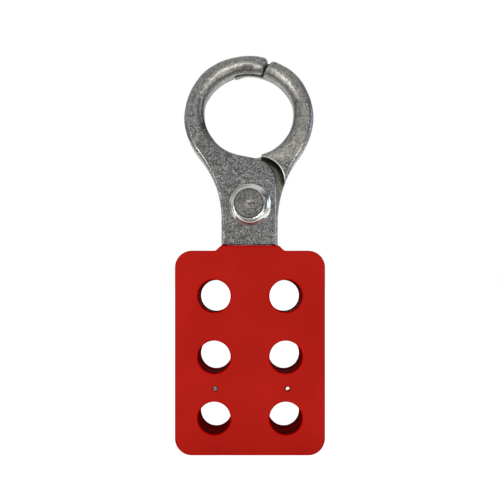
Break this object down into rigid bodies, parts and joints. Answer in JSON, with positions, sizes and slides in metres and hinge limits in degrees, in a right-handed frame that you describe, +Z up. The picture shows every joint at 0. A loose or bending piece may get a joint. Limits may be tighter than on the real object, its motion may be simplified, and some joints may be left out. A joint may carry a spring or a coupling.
{
  "type": "lockout hasp",
  "caption": "Scissor-action lockout hasp: half-lapped cast aluminium jaws that close into a ring, red moulded grips with padlock holes, one pivot rivet.",
  "frame": {"origin": "centre of the closed jaws' ring, on the plane where the two leaves meet", "axes": "+Z up from the grips to the jaws, -Y out of the front face, +X to the right seen from the front"},
  "size_m": [0.0604, 0.0147, 0.1624],
  "materials": {
    "cast_aluminium": "tumbled die casting, satin, fine rough skin on the flats",
    "red_grip": "smooth matte moulded vinyl",
    "rivet_steel": "bright plated, burnished bevel"
  },
  "bodies": {
    "rear_leaf": {"rear_jaw": "cast_aluminium", "rear_grip": "red_grip", "pivot_rivet": "rivet_steel"},
    "front_leaf": {"front_jaw": "cast_aluminium", "front_grip": "red_grip"}
  },
  "joints": [
    {"name": "leaf_pivot", "type": "hinge", "parent": "rear_leaf", "child": "front_leaf", "pos_m": [0, 0, -0.0354], "axis": [0, -1, 0], "range_deg": [0, 75]}
  ]
}
